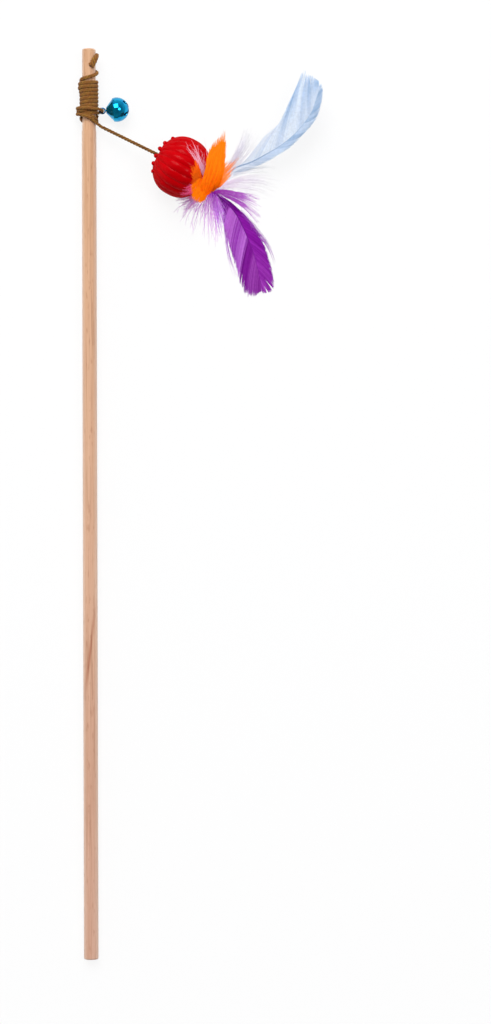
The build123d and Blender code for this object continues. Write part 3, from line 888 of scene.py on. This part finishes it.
def guided(guides, count, stray, size=(0.5, 1.0), over=False, wave=0.25, start=0.5, skip=0.0):
    """Loose strands that run between the guide lines, each a list of places after the binding."""
    guides = np.array([[ROOT, *g] for g in guides], float)
    s = np.linspace(0, 1, STRAND_PLACES)[:, None]
    lines = []
    for pick in rng.uniform(0, len(guides) - 1, count):
        whole = min(int(pick), len(guides) - 2)
        line = guides[whole] + (guides[whole + 1] - guides[whole]) * (pick - whole)
        grow = np.linspace(0, 1, len(line))[:, None]
        line = line + rng.normal(0, 1, (1, 3)) * stray * grow + rng.normal(0, start, (1, 3)) * (1 - grow)
        last = max(int(DENSE * rng.uniform(*size)), STRAND_PLACES)
        line = evenly(spline(line, DENSE)[int(DENSE * skip) : last], STRAND_PLACES)
        line = line + rng.normal(0, wave, (1, 3)) * np.sin(s * rng.uniform(5, 10) + rng.uniform(0, 6)) * s
        lines.append(line)
    return off_floor(off_ball(np.array(lines), over))


def down(
    name, body, slot, lines, low, high,
    fade=None, thick=0.075, flat=False, nodes=(), hairs=10, hair=2.2, pale=0.0,
):
    """Strands along the given lines, coloured from low to high and on to fade, with hairs on both sides."""
    count, places, _ = lines.shape
    look = feather_looks[slot]
    s = np.linspace(0, 1, places)
    shade = rng.uniform(0, 1, (count, 1))
    tone = mix(srgb(*low), srgb(*high), np.clip(shade * 0.8 + s * 0.4, 0, 1))
    if fade is not None:
        tone = mix(tone, srgb(*fade), np.clip(s * 1.1 - 0.1, 0, 1))
    taper = thick * np.interp(s, *STRAND_TAPER)
    if flat:
        piece = tubes(name, lines, taper, taper * FLAT_SHARE, NEARLY_UP, tone, look, smooth=False)
    else:
        piece = tubes(name, lines, taper, taper, NEARLY_UP, tone, look, 3)
    place_piece(piece, body, slot, *nodes, airy=True)
    fine, fine_tone = strand_hairs(lines, tone, hairs, hair)
    fine_tone = fine_tone + (1 - fine_tone) * pale
    taper = HAIR_THICK_SHARE * thick * np.linspace(1, 0.4, HAIR_PLACES)
    piece = tubes(name + "_hairs", fine, taper, taper, NEARLY_UP, fine_tone, look, 3)
    place_piece(piece, body, slot, airy=True)


def strand_hairs(lines, tone, hairs, hair):
    """Centres and colours of the hairs that stand off the strands on both sides."""
    count, places, _ = lines.shape
    at = rng.uniform(0.12, 0.97, (count, hairs))
    index = at * (places - 1)
    whole = np.minimum(index.astype(int), places - 2)
    part = (index - whole)[..., None]
    rows = np.arange(count)[:, None]
    near, far = lines[rows, whole], lines[rows, whole + 1]
    start = near * (1 - part) + far * part
    ahead = unit(far - near)
    sideways = np.cross(ahead, UP) * rng.choice((-1, 1), (count, hairs, 1))
    sideways = unit(sideways + rng.normal(0, 0.45, (count, hairs, 3)))
    run = unit(ahead * rng.uniform(0.5, 1.6, (count, hairs, 1)) + sideways)
    size = hair * rng.uniform(0.5, 1.2, (count, hairs, 1)) * np.interp(at, *HAIR_LENGTHS)[..., None]
    step = np.linspace(0, 1, HAIR_PLACES)[:, None]
    fine = start[:, :, None] + (run * size)[:, :, None] * step
    fine = fine + (ahead * size)[:, :, None] * HAIR_CURL_SHARE * step**2
    fine = off_floor(fine.reshape(-1, HAIR_PLACES, 3), HAIR_FLOOR_GAP)
    return fine, np.repeat(tone[rows, whole].reshape(-1, 1, 3), HAIR_PLACES, axis=1)


LILAC = (
    ((60, 419.5, 2), (51.5, 415.5, 0), (47.5, 409.5, -3)),
    ((61, 418.5, 2), (54.5, 412, -1), (53, 401.5, -4)),
    ((63.5, 417, 1.5), (60.5, 408, -2), (58.5, 398.5, -5)),
    ((66, 416, 1), (65.5, 405, -3), (66, 393.5, -5.5)),
    ((68.5, 415, 0.5), (70.5, 403, -3), (71.5, 389.5, -5.5)),
)
down(
    "lilac_down", "ball", "feather_lilac",
    guided(LILAC, count=74, stray=1.7, wave=0.95),
    low=(158, 34, 196), high=(236, 150, 244), fade=(236, 180, 246),
    thick=0.16, flat=True, nodes=("lilac_tuft",), hairs=8, hair=2.6, pale=0.45,
)
VIOLET = (
    ((76, 421.5, 3), (86, 420, 2), (95, 417.5, 1)),
    ((76, 420, 2.5), (86, 416.5, 1), (94.5, 411.5, 0)),
    ((75, 418.5, 2), (85, 412, 0), (94, 402.5, -1)),
)
down(
    "violet_down", "ball", "feather_purple",
    guided(VIOLET, count=90, stray=0.8),
    low=(112, 0, 138), high=(172, 48, 188), fade=(190, 104, 208),
    thick=0.15, flat=True, nodes=("violet_tuft",), hairs=6, pale=0.2,
)
RIGHT_WISPS = (
    ((80, 412, -1.2), (90, 401.5, -3.6), (97.5, 391, -4.6), (102.6, 378.5, -5.3)),
    ((81, 413, -1), (91, 402.5, -3.4), (98.5, 392.5, -4.3), (102.6, 382, -5)),
)
down(
    "purple_wisps", "purple", "feather_purple",
    guided(RIGHT_WISPS, count=16, stray=0.5, size=(0.8, 1.0), wave=0.2, skip=0.36),
    low=(140, 30, 170), high=(200, 110, 224), thick=0.12, hairs=4, pale=0.2,
)
LEFT_WISPS = (
    ((73.5, 409.5, -1.6), (75.5, 398.5, -4), (77.2, 388, -5), (81.8, 373.5, -5.9)),
    ((73, 409, -1.6), (74.5, 398, -4), (75.8, 387, -5), (79.8, 374.5, -5.9)),
)
down(
    "purple_left_wisps", "purple", "feather_purple",
    guided(LEFT_WISPS, count=14, stray=0.4, size=(0.8, 1.0), wave=0.2, skip=0.3),
    low=(170, 80, 200), high=(216, 150, 236), thick=0.11, hairs=4, pale=0.3,
)
MAUVE = (
    ((68, 417, 1.5), (69.5, 408, -1), (71.5, 396, -4)),
    ((69.5, 417.5, 2), (72, 410, 0), (74.5, 400, -3)),
    ((70.5, 417.8, 2), (74, 411.5, 0.5), (77, 404, -1.5)),
)
down(
    "mauve_down", "purple", "feather_purple",
    guided(MAUVE, count=44, stray=0.6, wave=0.4),
    low=(126, 0, 160), high=(196, 90, 224), fade=(214, 140, 240),
    thick=0.16, flat=True, hairs=6, pale=0.3,
)
PALE = (
    ((74, 431, 6), (81, 444, 10), (84.5, 458, 12)),
    ((75, 430.5, 6), (84, 442, 9.5), (91, 457, 11.5)),
    ((76, 430, 5), (85, 438.5, 8), (95, 448, 10.5)),
)
down(
    "pale_down", "ball", "feather_pale",
    guided(PALE, count=46, stray=1.0, size=(0.75, 1.0)),
    low=(180, 172, 208), high=(232, 226, 244), fade=(240, 238, 248),
    thick=0.12, nodes=("pale_tuft",),
)
WHITE = (
    ((78, 427.5, 4), (92, 430, 4), (108, 428, 3)),
    ((78, 425, 3.5), (92, 424.5, 3), (104, 420, 2)),
    ((77, 423, 3), (87, 421, 2), (98, 417, 1)),
)
down(
    "white_down", "ball", "feather_pale",
    guided(WHITE, count=60, stray=1.0, size=(0.6, 1.0)),
    low=(240, 222, 250), high=(252, 248, 255), thick=0.08,
)
PINK = (
    ((63.8, 427.5, 8), (60.5, 433, 9.7), (57, 440, 9.7), (51.5, 445.5, 9.7)),
    ((64.5, 428.5, 8), (62, 434, 9.7), (59.5, 441, 9.7), (56.5, 447.5, 9.7)),
    ((65.5, 429, 8), (64, 436, 9.7), (63, 442, 9.7), (62.5, 447, 9.7)),
)
down(
    "pink_down", "ball", "feather_lilac",
    guided(PINK, count=44, stray=1.6, over=True, wave=0.7),
    low=(214, 108, 160), high=(252, 204, 222), thick=0.11, flat=True, hairs=3,
)
MAGENTA = (
    ((62, 421.5, 5), (55, 418.6, 5), (48, 417.8, 4)),
    ((62, 420, 4), (54.5, 416.5, 2.5), (46.5, 415, 1)),
    ((62.5, 419, 3), (56.5, 413.5, 1), (51, 409, -2)),
)
down(
    "magenta_down", "ball", "feather_lilac",
    guided(MAGENTA, count=80, stray=1.4, size=(0.4, 1.0), wave=0.6),
    low=(240, 50, 140), high=(255, 150, 206), fade=(222, 176, 244),
    thick=0.15, flat=True, pale=0.3,
)
BLUSH = (
    ((62.8, 424.4, 9.7), (57.5, 421.4, 9.7), (51.5, 419.9, 9.7)),
    ((62.2, 422.6, 9.7), (56, 420, 9.7), (49, 419.2, 9.7)),
    ((62, 421.4, 8), (55, 418.4, 8), (48.5, 417.6, 8)),
)
down(
    "blush_down", "ball", "feather_lilac",
    guided(BLUSH, count=110, stray=1.4, size=(0.4, 0.85), over=True, wave=0.9),
    low=(226, 26, 104), high=(255, 120, 176), thick=0.2, flat=True, hairs=8,
)
BLUE_FOOT = (
    ((79, 431, 3), (90, 434.4, 4), (104, 437, 5.5)),
    ((78, 429.6, 3), (89, 431.6, 4), (102, 429.5, 5)),
)
down(
    "blue_wisps", "blue", "feather_blue",
    guided(BLUE_FOOT, count=40, stray=0.9, size=(0.4, 1.0)),
    low=(196, 210, 234), high=(240, 245, 252), fade=(248, 250, 254), thick=0.11, hairs=6,
)

# Orange plumes: fans of soft barbs

FAN_PLACES = 14
FAN_ARCH = 1.2
ROOT_SCATTER = 0.35
TIP_SCATTER = 0.3
FOOT_SCATTER = 0.5
FAN_TAPER = ((0, 0.65, 1), (0.8, 1, 0.12))
FAN_THICK_SHARE = 0.2
SMOOTHINGS = 4
ORANGE_LOW = (242, 82, 0)
ORANGE_HIGH = (255, 136, 2)


def fan(
    name, nodes, roots, edge, count, low=ORANGE_LOW, high=ORANGE_HIGH, tip=ORANGE_HIGH,
    wide=0.3, short=0.14, group=7, cling=0.55, gap=0.9, rise=7,
):
    """Soft barbs from the binding, by way of the roots, to the edge. Groups cling together at their ends."""
    share = (np.arange(count) + rng.uniform(0, 1, count)) / count
    bunch = np.arange(count) // group
    end_share = np.clip(share + ((bunch + 0.5) * group / count - share) * cling, 0, 1)
    start = seen(at_share(spline(roots, 200), share) + rng.normal(0, ROOT_SCATTER, (count, 3)))[:, None]
    end = seen(at_share(spline(edge, 200), end_share))[:, None]
    short = short * (rng.uniform(0, 1, count) ** 2 + 0.5 * rng.uniform(0, 1, count)[bunch])
    run = (end - start) * (1 - short)[:, None, None]
    s = np.linspace(0, 1, FAN_PLACES)[None, :, None]
    side = unit(np.cross(run, UP)) * np.linalg.norm(run, axis=2, keepdims=True)
    bulge = 0.1 * (share[:, None, None] - 0.5)
    lines = start + run * s + (side * bulge + UP * FAN_ARCH) * np.sin(np.pi * s)
    lines = lines + rng.normal(0, TIP_SCATTER, (count, 1, 3)) * s**3
    if rise:
        lines = risen(lines, start, rise)
    lines = off_floor(off_ball(lines, True, gap + rng.uniform(0, 0.5)))
    along = np.linspace(0, 1, lines.shape[1])
    tone = mix(srgb(*low), srgb(*high), np.clip(rng.uniform(0, 0.75, (count, 1)) + along * 0.3, 0, 1))
    tone = mix(tone, srgb(*tip), np.clip(along * 2 - 1, 0, 1))
    taper = wide * np.interp(along, *FAN_TAPER)
    look = feather_looks["feather_orange"]
    piece = tubes(name, lines, taper, taper * FAN_THICK_SHARE, NEARLY_UP, tone, look, smooth=False)
    place_piece(piece, "ball", "feather_orange", *nodes, airy=True)


def risen(lines, start, places):
    """The same lines with a rise from the binding to their start before them."""
    foot = ROOT + rng.normal(0, FOOT_SCATTER, (len(lines), 1, 3))
    climb = np.linspace(0, 1, places, endpoint=False)[None, :, None]
    lines = np.concatenate((foot + (start - foot) * climb, lines), axis=1)
    for _ in range(SMOOTHINGS):
        lines[:, 1:-1] = (lines[:, :-2] + 2 * lines[:, 1:-1] + lines[:, 2:]) / 4
    return lines


fan(
    "orange_ember", (),
    roots=((60, 423.5, 12), (60.8, 425, 12), (61.5, 426.5, 12)),
    edge=(
        (57.4, 418, 12), (56.2, 421.5, 11), (55.6, 424.5, 9.7), (55.2, 427.5, 9.7), (55.4, 431, 9.7),
        (56.6, 435.5, 9.7), (57.8, 440, 9.7), (59, 439, 9.7), (60, 434.5, 9.7),
    ),
    count=190, low=(248, 62, 0), high=(255, 112, 8), tip=(255, 104, 12),
    wide=0.26, short=0.6, group=5, cling=0.7, gap=0.6,
)
fan(
    "orange_lower", ("orange_plume_lower",),
    roots=((60.5, 429, 18), (63.5, 427, 17), (67, 424, 14)),
    edge=(
        (55.8, 424, 18), (56.2, 420.9, 17.5), (56.8, 417.2, 17), (59.7, 415.2, 16), (62.8, 416.2, 14),
        (64.2, 419.5, 12),
    ),
    count=260, short=0.1, cling=0.3,
)
fan(
    "orange_right", ("orange_plume_right",),
    roots=((68, 426.5, 10), (69.5, 425.5, 9.5), (71, 424, 9)),
    edge=(
        (75, 438.5, 12.5), (79.5, 440.6, 12.5), (83.2, 441.2, 12.5), (81.6, 437, 11.5), (79.2, 432, 10),
        (75.4, 427.6, 9),
    ),
    count=120, low=(250, 108, 4), high=(255, 142, 22), tip=(248, 166, 112),
    wide=0.2, short=0.5, group=4, cling=0.8,
)
fan(
    "orange_upper", ("orange_plume_upper",),
    roots=((64.8, 427.5, 13), (67, 426, 12), (70.5, 424, 9.5)),
    edge=(
        (65, 439, 16), (66.2, 445.6, 16.5), (69.4, 450.6, 16.5), (74.5, 455.8, 16.5), (75.6, 450, 16),
        (75.4, 445, 15.5), (74.4, 436, 14),
    ),
    count=420, tip=(255, 142, 16), short=0.22, group=10, cling=0.75,
)
fan(
    "orange_middle", (),
    roots=((61.2, 423.5, 18), (62.8, 420.4, 16.5), (65.2, 420.4, 13)),
    edge=((66, 433, 18), (66.6, 441, 18), (70.5, 447, 18), (73.4, 446, 17.5), (73.6, 436, 16.5)),
    count=300, wide=0.26, short=0.4, gap=1.3, rise=0,
)

# Stage

FLOOR_HALF = 3000.0
FLOOR_WHITE = (0.92, 0.92, 0.93, 1)
FLOOR_CLEAR_SHARE = 0.86
WHITE_LIGHT = (1, 1, 1, 1)
# The dome's light by height, and less of it from the butt's side
DOME_STOPS = ((0.0, (0.6,) * 3), (0.4, (0.5,) * 3), (0.8, (0.16,) * 3), (1.0, (0.08,) * 3))
# Lamps: heading and angle off the vertical in degrees, size as a share of their distance, level
LAMPS = (("key", 102, 33, 0.62, 0.84), ("side", 3, 27, 0.31, 0.24), ("fill", 180, 68, 1.1, 0.22))
LAMP_DISTANCE = 3.0
LAMP_AIM = np.array((0.06, 0.32, 0.0))


def floor_material():
    made, tree, shader = new_material("floor_white")
    tree.nodes.remove(shader)
    path = add(tree, "ShaderNodeLightPath").outputs
    mirrored = math_node(tree, "MAXIMUM", path["Is Glossy Ray"], path["Is Transmission Ray"])
    mirrored = math_node(tree, "MULTIPLY", mirrored, FLOOR_CLEAR_SHARE)
    lit = add(tree, "ShaderNodeBsdfDiffuse", Color=FLOOR_WHITE).outputs[0]
    white = add(tree, "ShaderNodeEmission", Color=WHITE_LIGHT, Strength=1.0).outputs[0]
    lit = add(tree, "ShaderNodeMixShader", Fac=mirrored, i1=lit, i2=white).outputs[0]
    # The camera sees the white world through the floor, and the ball where it hangs below the wand
    clear = math_node(tree, "MULTIPLY", path["Is Camera Ray"], FLOOR_CLEAR_SHARE)
    clear = math_node(tree, "MAXIMUM", clear, path["Is Shadow Ray"])
    glass = add(tree, "ShaderNodeBsdfTransparent", Color=WHITE_LIGHT).outputs[0]
    both = add(tree, "ShaderNodeMixShader", Fac=clear, i1=lit, i2=glass).outputs[0]
    tree.links.new(both, tree.nodes["Material Output"].inputs["Surface"])
    return made


def build_floor():
    corners = [CAMERA_PLAN + FLOOR_HALF * np.array(corner) for corner in ((-1, -1), (1, -1), (1, 1), (-1, 1))]
    mesh = bpy.data.meshes.new("floor")
    mesh.from_pydata([(x * MM, y * MM, floor_at(y) * MM) for x, y in corners], [], [(0, 1, 2, 3)])
    mesh.materials.append(floor_material())
    floor = bpy.data.objects.new("floor", mesh)
    bpy.context.scene.collection.objects.link(floor)


def build_world():
    scene = bpy.context.scene
    scene.world = scene.world or bpy.data.worlds.new("studio")
    scene.world.use_nodes = True
    tree = scene.world.node_tree
    tree.nodes.clear()
    direction = add(tree, "ShaderNodeSeparateXYZ", Vector=add(tree, "ShaderNodeTexCoord").outputs["Generated"])
    dome = ramp(tree, direction.outputs[2], *DOME_STOPS)
    fore = add(
        tree, "ShaderNodeMapRange", Value=direction.outputs[1],
        From_Min=-1.0, From_Max=0.6, To_Min=0.35, To_Max=1.0,
    )
    dome = blend_colour(tree, "MULTIPLY", 1.0, dome, fore.outputs["Result"])
    path = add(tree, "ShaderNodeLightPath").outputs
    colour = blend_colour(tree, "MIX", path["Is Camera Ray"], dome, WHITE_LIGHT)
    back = add(tree, "ShaderNodeBackground", Color=colour, Strength=1.0).outputs[0]
    add(tree, "ShaderNodeOutputWorld", Surface=back)


def add_lamp(name, away, tilt, spread, level):
    """A square soft lamp at a heading and an angle off the vertical, both in degrees."""
    data = bpy.data.lights.new(name, "AREA")
    data.shape = "SQUARE"
    data.size = spread * LAMP_DISTANCE
    data.energy = level * (math.pi * LAMP_DISTANCE) ** 2
    made = bpy.data.objects.new(name, data)
    turn, lean = math.radians(away), math.radians(tilt)
    toward = np.array((math.sin(lean) * math.cos(turn), math.sin(lean) * math.sin(turn), math.cos(lean)))
    made.location = LAMP_AIM + toward * LAMP_DISTANCE
    made.rotation_euler = (0, lean, turn)
    bpy.context.scene.collection.objects.link(made)


def add_camera():
    camera = bpy.data.cameras.new("camera")
    camera.type = "PERSP"
    camera.sensor_width = 36.0
    camera.lens = camera.sensor_width * CAMERA_HEIGHT / VIEW_HEIGHT
    camera.clip_end = 10.0
    made = bpy.data.objects.new("camera", camera)
    made.location = (*(CAMERA_PLAN * MM), CAMERA_HEIGHT * MM)
    made.rotation_euler = (0, 0, CAMERA_ROLL)
    bpy.context.scene.collection.objects.link(made)
    bpy.context.scene.camera = made


build_floor()
build_world()
for lamp in LAMPS:
    add_lamp(*lamp)
add_camera()
bpy.context.scene.view_settings.view_transform = "Standard"

bpy.context.view_layer.update()
